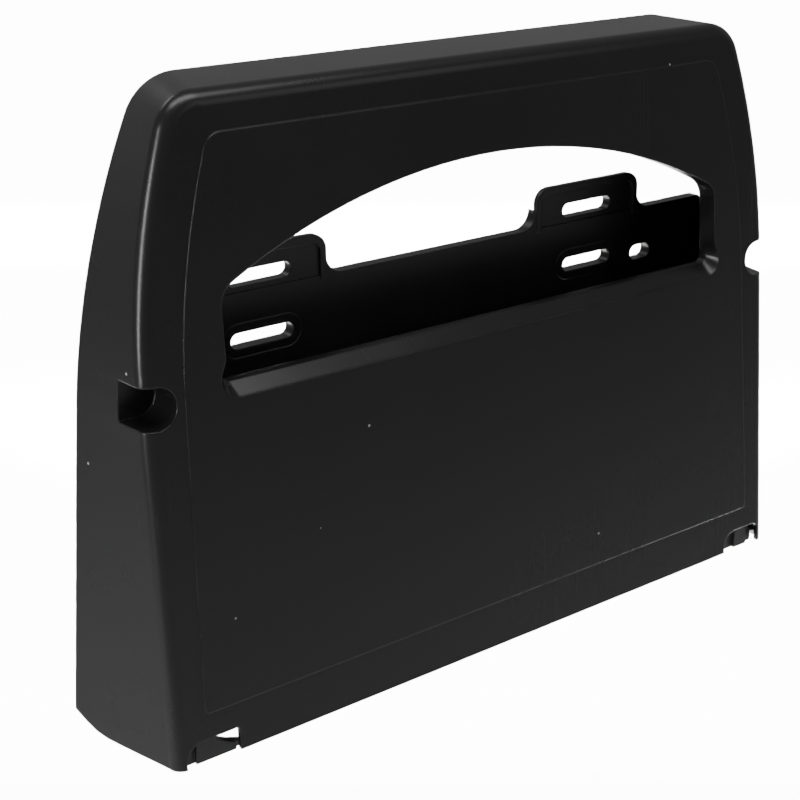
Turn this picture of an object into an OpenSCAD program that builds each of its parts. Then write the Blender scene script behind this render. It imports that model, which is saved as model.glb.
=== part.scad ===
// Wall-mounted half-fold paper dispenser.
// Frame: mm, +Z up, front toward -Y, wall plane at y = 0, middle at x = 0, bottom of the cover at z = 0.

/* [Body] */
// Height of the cover
cover_h = 300; // [290:1:310]
// Depth of the cover at the bottom
depth_bottom = 70.9; // [67:0.2:72]
// Depth of the cover at the top
depth_top = 45.4; // [43:0.2:47]
// Wall thickness of the cover
wall = 2.5; // [2:0.1:3]
// Radius of the rolled edge around the front face
edge_r = 6.8; // [5.5:0.1:7.5]

// Gap between the cover's open back and the wall
back_gap = 5.5; // [5:0.1:6]

/* [Window] */
// Half width of the window
window_half_w = 154; // [140:1:156]
// Height of the window sill
sill_z = 171.5; // [165:0.5:175]
// Height of the window's crown
crown_z = 253.5; // [245:0.5:256]
// Radius of the arched top of the window
arch_r = 322; // [300:1:340]
// Depth of the turned-in lip around the window
lip_d = 10.8; // [9:0.2:11.4]

/* [Thumb notches] */
// Height of the notch centre line
notch_z = 169.2; // [165:0.2:174]
// Radius of the notch
notch_r = 9.6; // [9:0.2:10.5]
// Distance of the notch centre line from the middle
notch_x = 188.8; // [187:0.2:190]
// Distance of the notch's blind end from the wall
notch_end_y = 37; // [36:0.5:40]

/* [Back plate] */
// Height of the plate's top edge
plate_top_z = 194.8; // [190:0.2:200]
// Distance of the plate's front face from the wall
plate_d = 6.8; // [6.4:0.1:7]
// Thickness of the plate's web
plate_t = 3; // [2.6:0.1:3.4]
// Height of the screw tabs' top edge
tab_top_z = 216.3; // [212:0.1:220]
// Width of a screw tab
tab_w = 74.4; // [70:0.2:78]
// Distance of the tab's front face from the wall
tab_d = 7.2; // [6.6:0.2:7.8]

/* [Mounting slots] */
// Distance of the slot centres from the middle
slot_x = 105; // [100:0.5:110]
// Height of the lower slots
slot_low_z = 171.3; // [168:0.2:175]
// Height of the upper slots
slot_high_z = 201.4; // [200:0.1:203]
// End-to-end length of a slot
slot_len = 35.4; // [34:0.5:39]
// Width of a slot
slot_w = 7.9; // [7:0.2:9]

/* [Hinge] */
// Distance of the hinge axis from the wall
hinge_d = 58.5; // [58:0.1:58.8]
// Height of the hinge axis
hinge_z = 4.5; // [4.3:0.1:4.6]
// Radius of a hinge pin
pin_r = 2.2; // [2:0.1:2.4]
// Radial running clearance of a pin in the cover
pin_gap = 0.05; // [0.02:0.01:0.1]

/* [Hidden] */
fine = 96;
arc_steps = 14;
side_steps = 10;
roll_steps = 6;
below_z = -30;
front_slope = (depth_bottom - depth_top) / cover_h;

// Outline of the cover's open back
back_side_x = 202.3;
back_bend_z = 155.4;
back_flare = 4.2;
back_bend_r = 403.4;
back_corner_r = 26.8;
back_h = cover_h + 1.9;

// Outline of the cover's front face
front_side_x = 195.5;
front_bend_z = 169;
front_flare = 0.3;
front_bend_r = 362;
front_corner_r = 21;

// Raised panel on the front face
panel_inset = 18;
panel_rise = 0.6;
panel_low_z = 24;
panel_side_x = 175.4;
panel_flare = 1.6;
panel_bend_r = 365;
panel_top_r = 9;
panel_corner_r = 3;
panel_low_x = panel_side_x + (front_bend_z - panel_low_z) * tan(panel_flare);

// Window sill shoulder and lip
lip_t = 2.2;
window_corner_r = 4.5;
window_top_corner_r = 12;
funnel_h = 5.5;
funnel_side = 3;
funnel_d = 6;
funnel_r = 9;
funnel_fade = 10;
fade_steps = 5;

// Cut-outs in the front's bottom corners
foot_in_x = 162.3;
foot_out_x = 190.3;
foot_h = 11.6;
foot_left_in_r = 1.5;
foot_left_out_r = 9;
foot_right_in_r = 8.5;
foot_right_out_r = 4;
leg_r = 4;

// Lower back corner of the side walls: [distance from the wall, height]
heel = [[back_gap, 8], [13, 4], [20, 1.2], [27, 0]];

// Bosses inside the cover that take the hinge pins
boss_r = 4.4;
boss_in_x = 191.4;
boss_bore_end_x = 195.4;
boss_out_x = 197.4;

// Catch ribs inside the cover's side walls
catch_z = 135;
rib_y = 22;
rib_d = 3;
rib_h = 16;
rib_in_x = 190.6;

// Hinge lugs and arms of the back plate
lug_in_x = 174;
lug_out_x = 189.8;
lug_front_y = 67.6;
lug_side_front_y = 65.8;
lug_step_x = 184;
lug_back_y = 51;
lug_h = 10.6;
lug_bore_in_x = 177;
lug_corner_r = 9;
toe_in_x = 146;
toe_out_x = 157;
toe_y0 = 54;
toe_y1 = 45;
toe_h = 6;
tongue_in_x = 163;
tongue_back_y = 62.8;
tip_in_x = 158.5;
tip_front_y = 65.8;
tip_h = 1.2;
tongue_knee_x = 166.2;
tongue_knee_h = 4;
tongue_root_h = 9;
arm_t = 3;
arm_h = 13;

// Perimeter of the back plate
plate_low_x = 207.5;
plate_mid_x = 198.2;
plate_mid_z = 150;
plate_top_x = 194.6;
plate_low_z = -1;
plate_flange_t = 2.4;
plate_corner_r = 2;
tab_corner_r = 8.5;
tab_fillet_r = 10;
tab_t = 3.2;
tab_rim_w = 3.4;
tab_rim_h = 1.4;
tab_root_z = 193;
slot_boss_w = 2.4;
slot_pad_w = 4.5;
slot_pad_h = 0.3;
hole_x = 146.8;
hole_z = 169;
hole_len = 15.5;
hole_w = 8.6;

// Paper shelf of the back plate
shelf_half_w = 160;
shelf_z = 9;
shelf_t = 2.6;
shelf_d = 40;
shelf_lip_h = 5;
gusset_t = 2.4;
gusset_h = 30;

// Catch springs
catch_t = 1;
catch_h = 12;
catch_foot_in_x = 170;
catch_arm_x = 188;
catch_arm_d = 31;
catch_nose_y = 27.5;
catch_nose_r = 2;
catch_nose_x = 188.2;
rivet_x = 176;
rivet_r = 1.6;
rivet_head_r = 3;
rivet_head_t = 1.2;

plate_color = [0.05, 0.05, 0.055];
cover_color = [0.07, 0.07, 0.075];
pin_color = [0.16, 0.16, 0.17];
spring_color = [0.7, 0.71, 0.73];

// Mirrors a left-hand shape to the right as well.
module both_sides() {
    children();
    mirror([1, 0, 0])
        children();
}

// Half outline on the right: a flared side, a slow bend and a round top corner, all moved in by inset.
function bend_centre(side_x, bend_z, flare, bend_r) =
    [side_x - bend_r * cos(flare), bend_z - bend_r * sin(flare)];
function corner_angle(top_z, c, bend_r, corner_r) =
    asin((top_z - corner_r - c[1]) / (bend_r - corner_r));
function half_outline(top_z, side_x, bend_z, flare, bend_r, corner_r, inset) =
    let (c = bend_centre(side_x, bend_z, flare, bend_r))
    let (e = corner_angle(top_z, c, bend_r, corner_r))
    let (k = c + (bend_r - corner_r) * [cos(e), sin(e)])
    let (s = c + (bend_r - inset) * [cos(flare), sin(flare)])
    concat(
        [for (i = [side_steps : -1 : 1]) s + (s[1] - below_z) * i / side_steps * [tan(flare), -1]],
        arc_points(c, bend_r - inset, flare, e, 0),
        arc_points(k, corner_r - inset, e, 90, 1)
    );
function arc_points(centre, r, a0, a1, first) =
    [for (i = [first : arc_steps]) let (a = a0 + (a1 - a0) * i / arc_steps) centre + r * [cos(a), sin(a)]];
function mirror_points(p) = [for (i = [len(p) - 1 : -1 : 0]) [-p[i][0], p[i][1]]];

function full_outline(half) = concat(half, mirror_points(half));
function back_half(inset) =
    half_outline(back_h, back_side_x, back_bend_z, back_flare, back_bend_r, back_corner_r, inset);
function front_half(inset) =
    half_outline(cover_h, front_side_x, front_bend_z, front_flare, front_bend_r, front_corner_r, inset);

// Stands a flat outline up, thickness t toward the back from distance d off the wall.
module upright(d, t) {
    translate([0, -d + t, 0])
        rotate([90, 0, 0])
            linear_extrude(t)
                children();
}

// The same, leaning back with the front face.
module leaning(d, t) {
    multmatrix([[1, 0, 0, 0], [0, 1, front_slope, 0], [0, 0, 1, 0]])
        upright(d, t)
            children();
}

// Rings of points: one leans back with the front face, d under its surface; one stands upright at y.
function leaning_ring(outline, d) =
    [for (p = outline) [p[0], -depth_bottom + d + front_slope * p[1], p[1]]];
function upright_ring(outline, y) = [for (p = outline) [p[0], y, p[1]]];
function roll_ring(inset, a) =
    let (roll = edge_r - inset)
    leaning_ring(full_outline(front_half(inset + roll * (1 - cos(a)))), inset + roll * (1 - sin(a)));

// Solid through a stack of rings, from the back to the front; each ring is the same left and right.
module loft(rings) {
    n = len(rings[0]);
    last = len(rings) - 1;
    end = last * n;
    polyhedron(
        points = [for (ring = rings) for (p = ring) p],
        faces = concat(
            [for (i = [0 : n / 2 - 2]) [i, i + 1, n - 1 - i]],
            [for (i = [0 : n / 2 - 2]) [i + 1, n - 2 - i, n - 1 - i]],
            [for (i = [0 : n / 2 - 2]) [end + i + 1, end + i, end + n - 1 - i]],
            [for (i = [0 : n / 2 - 2]) [end + n - 2 - i, end + i + 1, end + n - 1 - i]],
            [for (r = [0 : last - 1]) for (i = [0 : n - 1]) loft_low(r * n, (r + 1) * n, i, (i + 1) % n)],
            [for (r = [0 : last - 1]) for (i = [0 : n - 1]) loft_high(r * n, (r + 1) * n, i, (i + 1) % n)]
        ),
        convexity = 4
    );
}
function loft_low(from, to, i, j) = [to + j, from + j, from + i];
function loft_high(from, to, i, j) = [to + j, from + i, to + i];

// Body of the cover, moved in by inset on every side: it runs from the open back to the rolled front edge.
module cover_body(inset, back_y) {
    loft(concat(
        [upright_ring(full_outline(back_half(inset)), back_y)],
        [for (i = [0 : roll_steps]) roll_ring(inset, 90 * i / roll_steps)]
    ));
}

module window_outline(grow) {
    x1 = window_half_w + grow;
    low = sill_z - grow;
    r = window_top_corner_r;
    top_c = [x1 - r, crown_z - arch_r + sqrt(pow(arch_r + grow - r, 2) - pow(x1 - r, 2))];
    tip = atan2(top_c[1] - crown_z + arch_r, top_c[0]);
    difference() {
        intersection() {
            translate([0, crown_z - arch_r])
                circle(arch_r + grow, $fn = fine * 4);
            union() {
                translate([-x1, low + window_corner_r])
                    square([2 * x1, crown_z]);
                translate([-x1 + window_corner_r, low])
                    square([2 * (x1 - window_corner_r), crown_z]);
                both_sides()
                    translate([x1 - window_corner_r, low + window_corner_r])
                        circle(window_corner_r, $fn = fine);
            }
        }
        both_sides()
            difference() {
                polygon([
                    top_c,
                    top_c + [2 * r, 0],
                    top_c + [2 * r, 2 * r],
                    top_c + 2 * r * [cos(tip), sin(tip)]
                ]);
                translate(top_c)
                    circle(r, $fn = fine);
            }
    }
}

// The window's lower edge opens out like a funnel, and fades out up the sides.
function funnel_half(r, side, low, grow) = concat(
    arc_points([window_half_w + side - r, low + r], r + grow, -90, 0, 0),
    [for (i = [1 : fade_steps])
        let (t = i / fade_steps)
        [window_half_w + grow + side * (1 + cos(180 * t)) / 2, low + r + funnel_fade * t]]
);
module sill_funnel(grow, shift, d) {
    wide = full_outline(funnel_half(funnel_r, funnel_side, sill_z - funnel_h, grow));
    narrow = full_outline(funnel_half(window_corner_r, 0, sill_z, grow));
    loft([
        leaning_ring(narrow, funnel_d + shift),
        leaning_ring(wide, shift),
        leaning_ring(wide, shift - d)
    ]);
}

module panel_outline() {
    intersection() {
        polygon(full_outline(half_outline(
            cover_h - panel_inset, panel_side_x, front_bend_z, panel_flare, panel_bend_r, panel_top_r, 0)));
        union() {
            translate([-cover_h, panel_low_z + panel_corner_r])
                square([2 * cover_h, cover_h]);
            translate([-panel_low_x + panel_corner_r, panel_low_z])
                square([2 * (panel_low_x - panel_corner_r), cover_h]);
            both_sides()
                translate([panel_low_x - panel_corner_r, panel_low_z + panel_corner_r])
                    circle(panel_corner_r, $fn = fine);
        }
    }
}

module notch_outline(grow) {
    circle(notch_r + grow, $fn = fine);
    translate([0, -notch_r - grow])
        square([40, 2 * (notch_r + grow)]);
}

// Notch with a blind end that stands square to the wall.
module notch_space(grow) {
    intersection() {
        translate([notch_x, 0, notch_z])
            upright(100, 100)
                notch_outline(grow);
        translate([0, -100, 0])
            cube([300, 100 - notch_end_y + grow, cover_h]);
    }
}

// Cut-out of the right-hand corner with its own radius at each upper corner.
module foot_outline(in_r, out_r) {
    translate([foot_in_x, -1])
        square([foot_out_x - foot_in_x, foot_h + 1 - max(in_r, out_r)]);
    translate([foot_in_x, -1])
        square([in_r, foot_h + 1 - in_r]);
    translate([foot_out_x - out_r, -1])
        square([out_r, foot_h + 1 - out_r]);
    translate([foot_in_x + in_r, -1])
        square([foot_out_x - foot_in_x - in_r - out_r, foot_h + 1]);
    translate([foot_in_x + in_r, foot_h - in_r])
        circle(in_r, $fn = fine);
    translate([foot_out_x - out_r, foot_h - out_r])
        circle(out_r, $fn = fine);
}

module foot_cuts() {
    leaning(depth_bottom + 5, 5 + edge_r) {
        foot_outline(foot_right_in_r, foot_right_out_r);
        mirror([1, 0, 0])
            foot_outline(foot_left_in_r, foot_left_out_r);
    }
}

// Rounds the outer bottom corner of the leg beside the right-hand cut-out.
module leg_round() {
    corner_x = front_side_x + front_bend_z * tan(front_flare);
    upright(depth_bottom + 5, 5 + edge_r)
        difference() {
            translate([corner_x - leg_r, -leg_r])
                square([3 * leg_r, 2 * leg_r]);
            translate([corner_x - leg_r, leg_r])
                circle(leg_r, $fn = fine);
        }
}

// Blind boss inside the right-hand side wall.
module pin_boss() {
    translate([boss_in_x, -hinge_d, hinge_z])
        rotate([0, 90, 0])
            cylinder(r = boss_r, h = boss_out_x - boss_in_x, $fn = fine);
}

module pin_bore() {
    translate([boss_in_x - 1, -hinge_d, hinge_z])
        rotate([0, 90, 0])
            cylinder(r = pin_r + pin_gap, h = boss_bore_end_x - boss_in_x + 1, $fn = fine);
}

module heel_cut() {
    translate([-250, 0, 0])
        rotate([90, 0, 90])
            linear_extrude(500)
                polygon(concat(
                    [[2, -1], [2, heel[0][1]]],
                    [for (p = heel) [-p[0], p[1]]],
                    [[-heel[3][0], -1]]
                ));
}

module front_cover() {
    color(cover_color)
        difference() {
            union() {
                difference() {
                    cover_body(0, -back_gap);
                    cover_body(wall, -back_gap + 0.2);
                }
                intersection() {
                    cover_body(0.1, -back_gap);
                    union() {
                        leaning(depth_bottom, lip_d)
                            window_outline(lip_t);
                        sill_funnel(lip_t, 1.6, 1);
                        both_sides()
                            notch_space(wall);
                        both_sides()
                            pin_boss();
                        both_sides()
                            translate([rib_in_x, -rib_y - rib_d, catch_z - rib_h / 2])
                                cube([20, rib_d, rib_h]);
                    }
                }
                leaning(depth_bottom + panel_rise, panel_rise + 1)
                    panel_outline();
            }
            leaning(depth_bottom + 5, depth_bottom)
                window_outline(0);
            sill_funnel(0, 0, 3);
            both_sides()
                notch_space(0);
            both_sides()
                pin_bore();
            foot_cuts();
            leg_round();
            heel_cut();
            translate([-250, -150, below_z - 1])
                cube([500, 200, -below_z + 1]);
        }
}

module tab_outline(inset) {
    x0 = slot_x - tab_w / 2 + inset;
    x1 = slot_x + tab_w / 2 - inset;
    r = tab_corner_r - inset;
    translate([x0, tab_root_z])
        square([x1 - x0, tab_top_z - inset - r - tab_root_z]);
    translate([x0 + r, tab_root_z])
        square([x1 - x0 - 2 * r, tab_top_z - inset - tab_root_z]);
    for (x = [x0 + r, x1 - r])
        translate([x, tab_top_z - inset - r])
            circle(r, $fn = fine);
}

module tab_fillets() {
    for (s = [-1, 1])
        difference() {
            translate([slot_x + s * (tab_w / 2 + tab_fillet_r / 2), plate_top_z + tab_fillet_r / 2 - 0.5])
                square([tab_fillet_r, tab_fillet_r + 1], center = true);
            translate([slot_x + s * (tab_w / 2 + tab_fillet_r), plate_top_z + tab_fillet_r])
                circle(tab_fillet_r, $fn = fine);
        }
}

module slot_outline(length, width) {
    square([length - width, width], center = true);
    for (s = [-1, 1])
        translate([s * (length - width) / 2, 0])
            circle(width / 2, $fn = fine);
}

module plate_outline(inset) {
    polygon([
        [-plate_low_x + inset, plate_low_z + inset],
        [plate_low_x - inset, plate_low_z + inset],
        [plate_mid_x - inset, plate_mid_z],
        [plate_top_x - inset, plate_top_z - plate_corner_r - inset],
        [plate_top_x - plate_corner_r - inset, plate_top_z - inset],
        [-plate_top_x + plate_corner_r + inset, plate_top_z - inset],
        [-plate_top_x + inset, plate_top_z - plate_corner_r - inset],
        [-plate_mid_x + inset, plate_mid_z]
    ]);
}

module plate_holes(grow) {
    for (z = [slot_low_z, slot_high_z])
        translate([slot_x, z])
            slot_outline(slot_len + 2 * grow, slot_w + 2 * grow);
    translate([hole_x, hole_z])
        slot_outline(hole_len + 2 * grow, hole_w + 2 * grow);
}

// Front outline of the right-hand hinge lug.
module lug_outline() {
    intersection() {
        union() {
            translate([lug_in_x, plate_low_z])
                square([lug_out_x - lug_in_x - lug_corner_r, lug_h - plate_low_z]);
            translate([lug_out_x - lug_corner_r, lug_h - lug_corner_r])
                circle(lug_corner_r, $fn = fine);
        }
        translate([lug_in_x, plate_low_z])
            square([lug_out_x - lug_in_x, lug_h - plate_low_z]);
    }
}

// Thin tongue that slopes down from the lug toward the middle.
module tongue_outline(in_x) {
    slope = (tongue_knee_h - tip_h) / (tongue_knee_x - tip_in_x);
    polygon([
        [lug_in_x + 1, plate_low_z],
        [lug_in_x + 1, tongue_root_h],
        [tongue_knee_x, tongue_knee_h],
        [in_x, tip_h + (in_x - tip_in_x) * slope],
        [in_x, plate_low_z]
    ]);
}

// Arm, lug, tongue and stop toe of the right-hand hinge; the tongue's front stands tongue_y off the wall.
module hinge_arm(tongue_y) {
    translate([lug_out_x - arm_t, -lug_back_y, 0])
        cube([arm_t, lug_back_y - plate_d + 1, arm_h]);
    upright(lug_side_front_y, lug_side_front_y - lug_back_y)
        lug_outline();
    upright(lug_front_y, lug_front_y - lug_back_y)
        intersection() {
            lug_outline();
            translate([0, plate_low_z])
                square([lug_step_x, lug_h - plate_low_z]);
        }
    upright(tongue_y, tongue_y - tongue_back_y)
        tongue_outline(tongue_in_x);
    upright(tip_front_y, tip_front_y - tongue_back_y)
        tongue_outline(tip_in_x);
    translate([toe_in_x, -toe_y0, 0])
        cube([toe_out_x - toe_in_x, toe_y0 - toe_y1, toe_h]);
    translate([toe_in_x, -toe_y1 - 1, 0])
        cube([arm_t, toe_y1 + 1 - plate_d + 1, shelf_z]);
}

module shelf() {
    translate([-shelf_half_w, -shelf_d, shelf_z - shelf_t])
        cube([2 * shelf_half_w, shelf_d - plate_d + 1, shelf_t]);
    translate([-shelf_half_w, -shelf_d, shelf_z - shelf_t])
        cube([2 * shelf_half_w, shelf_t, shelf_t + shelf_lip_h]);
    for (x = [-120, -40, 40, 120])
        translate([x - gusset_t / 2, -plate_d - shelf_lip_h, shelf_z - shelf_t])
            cube([gusset_t, shelf_lip_h + 1, gusset_h]);
}

module shelf_windows() {
    for (x = [-125 : 50 : 125])
        translate([x - 16, -shelf_d + 9, 0])
            cube([32, 18, shelf_z + 1]);
}

module back_plate() {
    color(plate_color)
        difference() {
            union() {
                upright(plate_d, plate_t)
                    plate_outline(0);
                difference() {
                    upright(plate_d, plate_d)
                        plate_outline(0);
                    translate([0, 1, 0])
                        upright(plate_d, plate_d + 2)
                            plate_outline(plate_flange_t);
                }
                both_sides()
                    upright(tab_d - tab_rim_h, tab_t - tab_rim_h)
                        tab_outline(0);
                both_sides()
                    upright(tab_d, tab_t)
                        difference() {
                            tab_outline(0);
                            translate([0, -1])
                                tab_outline(tab_rim_w);
                        }
                both_sides()
                    upright(plate_d, plate_d)
                        tab_fillets();
                both_sides()
                    upright(tab_d - tab_rim_h, tab_d - tab_rim_h)
                        plate_holes(slot_boss_w);
                both_sides()
                    upright(plate_d + slot_pad_h, plate_t)
                        translate([slot_x, slot_low_z])
                            slot_outline(slot_len + 2 * slot_pad_w, slot_w + 2 * slot_pad_w);
                hinge_arm(tip_front_y);
                mirror([1, 0, 0])
                    hinge_arm(lug_front_y);
                shelf();
            }
            both_sides()
                upright(tab_d + 5, tab_d + 10)
                    plate_holes(0);
            both_sides()
                translate([lug_bore_in_x, -hinge_d, hinge_z])
                    rotate([0, 90, 0])
                        cylinder(r = pin_r, h = 30, $fn = fine);
            shelf_windows();
            both_sides()
                translate([rivet_x, 1, catch_z])
                    rotate([90, 0, 0])
                        cylinder(r = rivet_r, h = plate_d + 3, $fn = fine);
        }
}

module hinge_pin_right() {
    color(pin_color)
        translate([lug_bore_in_x, -hinge_d, hinge_z])
            rotate([0, 90, 0])
                union() {
                    cylinder(r = pin_r, h = boss_bore_end_x - lug_bore_in_x - 1.1, $fn = fine);
                    translate([0, 0, boss_bore_end_x - lug_bore_in_x - 1.1])
                        cylinder(r1 = pin_r, r2 = pin_r - 0.7, h = 0.8, $fn = fine);
                }
}

module hinge_pin_left() {
    mirror([1, 0, 0])
        hinge_pin_right();
}

module catch_spring_right() {
    color(spring_color)
        difference() {
            union() {
                translate([catch_foot_in_x, -plate_d - catch_t, catch_z - catch_h / 2])
                    cube([catch_arm_x - catch_foot_in_x, catch_t, catch_h]);
                translate([catch_arm_x - catch_t, -catch_arm_d, catch_z - catch_h / 2])
                    cube([catch_t, catch_arm_d - plate_d, catch_h]);
                translate([catch_nose_x, -catch_nose_y, catch_z - catch_h / 2])
                    cylinder(r = catch_nose_r, h = catch_h, $fn = fine);
            }
            translate([rivet_x, 0, catch_z])
                rotate([90, 0, 0])
                    cylinder(r = rivet_r, h = plate_d + 3, $fn = fine);
        }
}

module catch_spring_left() {
    mirror([1, 0, 0])
        catch_spring_right();
}

module catch_rivets() {
    color(spring_color)
        both_sides()
            translate([rivet_x, 0, catch_z])
                rotate([90, 0, 0])
                    union() {
                        cylinder(r = rivet_r, h = plate_d + catch_t, $fn = fine);
                        translate([0, 0, plate_d + catch_t])
                            cylinder(r = rivet_head_r, h = rivet_head_t, $fn = fine);
                    }
}

back_plate();
front_cover();
hinge_pin_left();
hinge_pin_right();
catch_spring_left();
catch_spring_right();
catch_rivets();
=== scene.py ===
import math
import bmesh
import bpy
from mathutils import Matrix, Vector


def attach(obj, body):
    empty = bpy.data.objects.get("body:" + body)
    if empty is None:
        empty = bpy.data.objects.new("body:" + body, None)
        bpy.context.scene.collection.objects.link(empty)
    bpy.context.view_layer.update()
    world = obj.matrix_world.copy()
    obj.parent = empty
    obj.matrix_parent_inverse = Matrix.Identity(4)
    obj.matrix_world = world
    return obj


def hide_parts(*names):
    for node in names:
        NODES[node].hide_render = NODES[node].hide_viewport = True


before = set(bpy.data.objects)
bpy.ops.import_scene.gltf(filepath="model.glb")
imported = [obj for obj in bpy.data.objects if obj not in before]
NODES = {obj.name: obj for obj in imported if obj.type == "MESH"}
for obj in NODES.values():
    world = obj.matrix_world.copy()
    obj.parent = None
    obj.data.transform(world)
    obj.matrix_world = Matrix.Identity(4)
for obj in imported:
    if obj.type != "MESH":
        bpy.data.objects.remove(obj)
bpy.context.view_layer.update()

# Edges sharper than this stay crisp, and vertices closer than this are one.
CREASE = math.radians(28)
WELD = 2e-5
SLIVER = 1e-6

# Surface detail. Scales are per metre of the object.
CLOUD_SCALE = 11.0
CLOUD_DETAIL = 6.0
GLOSS_DOWN = 0.03
GLOSS_UP = 0.04
SCRATCH_PATCH_SCALE = 9.0
SCRATCH_WIDTH = 0.012
SCRATCH_TONE = 0.35
WEAR_SCALE = 60.0
DUST_CELLS = 42.0
DUST_COLOR = (0.3, 0.3, 0.29)
BUMP_DEPTH = 0.0002
BEVEL_SAMPLES = 6


def node(nt, kind, **values):
    """A new shader node with its unlinked inputs set by name."""
    n = nt.nodes.new("ShaderNode" + kind)
    for key, value in values.items():
        n.inputs[key.replace("_", " ")].default_value = value
    return n


def remap(nt, source, low, high, to_low, to_high):
    """A clamped rescale of one value."""
    n = node(nt, "MapRange", From_Min=low, From_Max=high, To_Min=to_low, To_Max=to_high)
    nt.links.new(source, n.inputs["Value"])
    return n.outputs["Result"]


def math_node(nt, operation, first, second):
    """One step of arithmetic on shader values; each is a number or another node's output."""
    n = nt.nodes.new("ShaderNodeMath")
    n.operation = operation
    for slot, value in enumerate((first, second)):
        if isinstance(value, (int, float)):
            n.inputs[slot].default_value = value
        else:
            nt.links.new(value, n.inputs[slot])
    return n.outputs["Value"]


def noise(nt, vector, scale, detail):
    """A cloudy value between 0 and 1."""
    n = node(nt, "TexNoise", Scale=scale, Detail=detail)
    nt.links.new(vector, n.inputs["Vector"])
    return n.outputs["Fac"]


def fine_lines(nt, vector, turn, wide, long, keep):
    """Thin straight scratches, all one way, broken up so that only a few show."""
    place = node(nt, "Mapping", Rotation=turn, Scale=(wide, long, long))
    nt.links.new(vector, place.inputs["Vector"])
    ridge = noise(nt, place.outputs["Vector"], 1.0, 1.0)
    near = math_node(nt, "ABSOLUTE", math_node(nt, "SUBTRACT", ridge, 0.5), 0.0)
    line = remap(nt, near, 0.0, SCRATCH_WIDTH, 1.0, 0.0)
    patch = remap(nt, noise(nt, vector, SCRATCH_PATCH_SCALE, 3.0), keep, keep + 0.06, 0.0, 1.0)
    return math_node(nt, "MULTIPLY", line, patch)


def dust(nt, vector, size):
    """Tiny pale specks, one where a cell's centre lies close under the surface."""
    spots = node(nt, "TexVoronoi", Scale=DUST_CELLS)
    nt.links.new(vector, spots.inputs["Vector"])
    return remap(nt, spots.outputs["Distance"], size * 0.6, size, 1.0, 0.0)


def blend(nt, factor, first, second):
    """A colour mix; each end is a colour or another node's output."""
    n = nt.nodes.new("ShaderNodeMix")
    n.data_type = "RGBA"
    nt.links.new(factor, n.inputs["Factor"])
    for socket, value in (("A", first), ("B", second)):
        if isinstance(value, tuple):
            n.inputs[socket].default_value = (*value, 1.0)
        else:
            nt.links.new(value, n.inputs[socket])
    return n.outputs["Result"]


def tint(color, gain, lift=0.0):
    """A colour made brighter or darker, and raised by a little grey."""
    return tuple(min(1.0, c * gain + lift) for c in color)


def material(name, color, rough, grain, bump, spec=0.5, metal=0.0, edge=0.0004, scuff=0.1,
             specks=0.0):
    """Plastic or sheet metal: a fine grain, cloudy gloss, scratches, dust and paler worn edges."""
    m = bpy.data.materials.new(name)
    m.use_nodes = True
    nt = m.node_tree
    bsdf = nt.nodes["Principled BSDF"]
    bsdf.inputs["Specular IOR Level"].default_value = spec
    bsdf.inputs["Metallic"].default_value = metal
    place = nt.nodes.new("ShaderNodeTexCoord").outputs["Object"]

    cloud = noise(nt, place, CLOUD_SCALE, CLOUD_DETAIL)
    lines = math_node(
        nt, "MAXIMUM",
        fine_lines(nt, place, (0.2, 0.5, 0.3), 260.0, 2.0, 0.58),
        fine_lines(nt, place, (0.7, -0.9, 1.1), 220.0, 3.0, 0.62))
    gloss = remap(nt, cloud, 0.3, 0.7, rough - GLOSS_DOWN, rough + GLOSS_UP)
    scuffed = math_node(nt, "ADD", gloss, math_node(nt, "MULTIPLY", lines, scuff))
    nt.links.new(scuffed, bsdf.inputs["Roughness"])

    soft = node(nt, "Bevel", Radius=edge)
    soft.samples = BEVEL_SAMPLES
    flat = nt.nodes.new("ShaderNodeNewGeometry")
    turn = nt.nodes.new("ShaderNodeVectorMath")
    turn.operation = "DOT_PRODUCT"
    nt.links.new(soft.outputs["Normal"], turn.inputs[0])
    nt.links.new(flat.outputs["Normal"], turn.inputs[1])
    edges = remap(nt, turn.outputs["Value"], 0.8, 0.97, 1.0, 0.0)
    rubbed = remap(nt, noise(nt, place, WEAR_SCALE, 4.0), 0.42, 0.62, 0.0, 0.8)
    worn = math_node(nt, "MULTIPLY", edges, rubbed)

    tone = blend(nt, cloud, tint(color, 0.82), tint(color, 1.2))
    tone = blend(nt, worn, tone, tint(color, 2.0, 0.006))
    tone = blend(nt, math_node(nt, "MULTIPLY", lines, SCRATCH_TONE), tone, tint(color, 1.6, 0.006))
    if specks:
        tone = blend(nt, dust(nt, place, specks), tone, DUST_COLOR)
    nt.links.new(tone, bsdf.inputs["Base Color"])

    relief = node(nt, "Bump", Strength=bump, Distance=BUMP_DEPTH)
    nt.links.new(soft.outputs["Normal"], relief.inputs["Normal"])
    nt.links.new(noise(nt, place, grain, 2.0), relief.inputs["Height"])
    nt.links.new(relief.outputs["Normal"], bsdf.inputs["Normal"])
    return m


cover_mat = material(
    "cover_plastic", (0.0075, 0.0075, 0.008), 0.25, 2600.0, 0.10,
    spec=0.32, edge=0.0012, specks=0.035)
plate_mat = material(
    "plate_plastic", (0.009, 0.009, 0.0095), 0.36, 1800.0, 0.18,
    spec=0.4, edge=0.0008, specks=0.03)
pin_mat = material("pin_plastic", (0.03, 0.03, 0.032), 0.35, 1500.0, 0.15)
steel_mat = material("spring_steel", (0.55, 0.56, 0.58), 0.3, 900.0, 0.1, metal=1.0, scuff=0.2)
LOOKS = {
    "back_plate": ("plate_plastic", plate_mat), "front_cover": ("cover_plastic", cover_mat),
    "hinge_pin_left": ("pin_plastic", pin_mat), "hinge_pin_right": ("pin_plastic", pin_mat),
    "catch_spring_left": ("spring_steel", steel_mat), "catch_spring_right": ("spring_steel", steel_mat),
    "catch_rivets": ("spring_steel", steel_mat),
}
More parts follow.
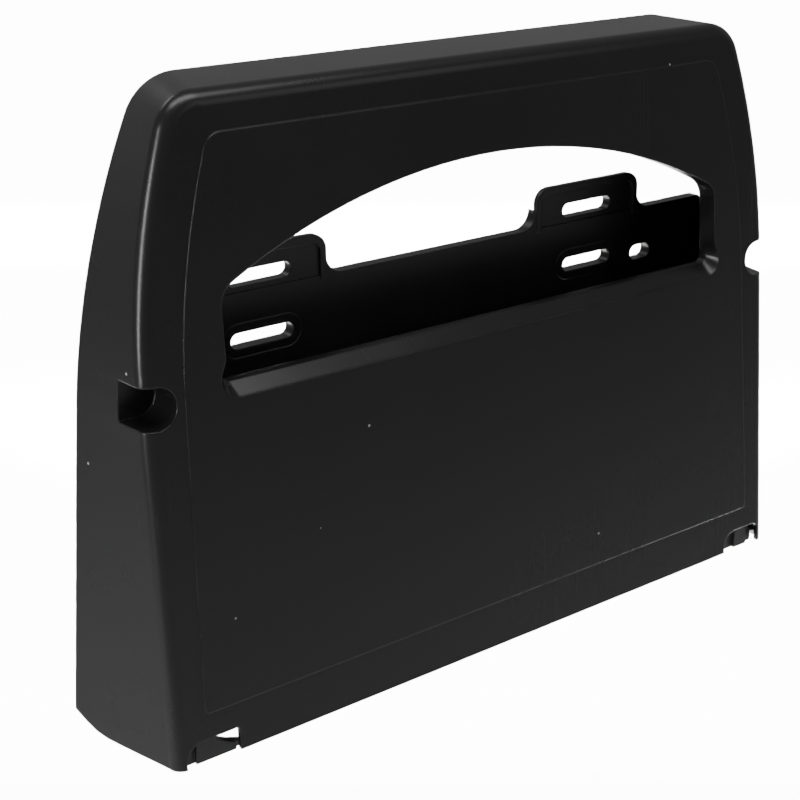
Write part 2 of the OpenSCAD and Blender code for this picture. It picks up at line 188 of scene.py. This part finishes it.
for name, (_, mat) in LOOKS.items():
    NODES[name].data.materials.clear()
    NODES[name].data.materials.append(mat)


def moulding(name, body):
    """The CAD shape again with its faces joined: slow curves shade smoothly, real edges stay crisp."""
    slot, mat = LOOKS[name]
    me = NODES[name].data.copy()
    me.name = name + "_skin"
    if "custom_normal" in me.attributes:
        me.attributes.remove(me.attributes["custom_normal"])
    bm = bmesh.new()
    bm.from_mesh(me)
    bmesh.ops.remove_doubles(bm, verts=bm.verts, dist=WELD)
    bmesh.ops.dissolve_degenerate(bm, edges=bm.edges, dist=SLIVER)
    for f in bm.faces:
        f.smooth = True
    for e in bm.edges:
        e.smooth = not (e.is_manifold and e.calc_face_angle(0.0) > CREASE)
    bm.to_mesh(me)
    bm.free()
    o = bpy.data.objects.new(name + "_skin", me)
    bpy.context.scene.collection.objects.link(o)
    me.materials.clear()
    me.materials.append(mat)
    w = o.modifiers.new("normals", "WEIGHTED_NORMAL")
    w.keep_sharp = True
    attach(o, body)
    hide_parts(name)


moulding("front_cover", "cover")
moulding("back_plate", "base")

# Floor
FLOOR_Z = -0.36
HALF = 30.0
floor_mesh = bpy.data.meshes.new("floor")
corners = [(x * HALF, y * HALF, FLOOR_Z) for x, y in ((-1, -1), (1, -1), (1, 1), (-1, 1))]
floor_mesh.from_pydata(corners, [], [(0, 1, 2, 3)])
floor = bpy.data.objects.new("floor", floor_mesh)
bpy.context.scene.collection.objects.link(floor)
paint = bpy.data.materials.new("floor_paint")
paint.use_nodes = True
coat = paint.node_tree.nodes["Principled BSDF"].inputs
coat["Base Color"].default_value = (0.9, 0.9, 0.9, 1)
coat["Roughness"].default_value = 0.95
coat["Specular IOR Level"].default_value = 0.1
floor_mesh.materials.append(paint)

# Where the camera stands, and its turn about Z and tilt from straight down, in degrees.
VIEW_FROM = Vector((-0.47986, -0.61278, 0.41911))
VIEW_TURN = -37.007
VIEW_TILT = 71.304

# Light
world = bpy.data.worlds.new("studio")
world.use_nodes = True
sky = world.node_tree.nodes["Background"].inputs
sky["Color"].default_value = (1, 1, 1, 1)
sky["Strength"].default_value = 0.29
bpy.context.scene.world = world


def area(name, place, turn, size, watts, spread=180):
    """A rectangular softbox at place, turned as given."""
    light = bpy.data.lights.new(name, "AREA")
    light.shape = "RECTANGLE"
    light.size, light.size_y = size
    light.energy = watts
    light.spread = math.radians(spread)
    o = bpy.data.objects.new(name, light)
    o.location = place
    o.rotation_euler = turn
    bpy.context.scene.collection.objects.link(o)


def softbox(name, place, aim, size, watts):
    """A softbox that faces the point aim."""
    turn = (Vector(aim) - Vector(place)).to_track_quat("-Z", "Y").to_euler()
    area(name, place, turn, size, watts)


# Narrow-beamed panels, in a row ahead of the camera, light the floor behind the object to white.
# Each row: where it starts and ends along the view, and its width.
PANEL_Z = 0.8
PANEL_SPREAD = 22
PANEL_WATTS_PER_M2 = 48.0
turn_z = math.radians(VIEW_TURN)
ahead = Vector((-math.sin(turn_z), math.cos(turn_z), 0))
for start, end, width in ((1.0, 1.95, 1.15), (1.85, 2.9, 1.75), (2.7, 6.4, 3.7)):
    length = end - start
    middle = VIEW_FROM + ahead * (start + end) / 2
    middle.z = PANEL_Z
    area(f"floor_panel_{width:.0f}", middle, (0, 0, turn_z), (width, length),
         PANEL_WATTS_PER_M2 * width * length, spread=PANEL_SPREAD)
# The streak on the cover's left rolled edge.
softbox("side_strip", (-1.3, -0.16, 0.32), (-0.2, -0.05, 0.24), (0.06, 0.74), 11)
# The sill and the top corner roll.
softbox("sky_box", (-0.08, -0.32, 1.75), (0.0, -0.1, 0.2), (1.6, 0.6), 22)
# The top face, and the rolled edge before it.
softbox("back_box", (-0.4, 1.7, 1.7), (-0.1, 0, 0.2), (0.9, 0.5), 5.5)
# A weak light on the cover's front.
softbox("front_fill", (0.9, -1.6, 1.1), (0.1, 0, 0.2), (1.0, 0.8), 2.5)

# Camera
cam_data = bpy.data.cameras.new("camera")
cam_data.lens = 71.15
cam_data.sensor_width = 36.0
cam_data.shift_y = -0.10
cam_data.clip_start = 0.01
cam_data.clip_end = 200
cam = bpy.data.objects.new("camera", cam_data)
cam.location = VIEW_FROM
cam.rotation_euler = (math.radians(VIEW_TILT), 0, turn_z)
bpy.context.scene.collection.objects.link(cam)
bpy.context.scene.camera = cam
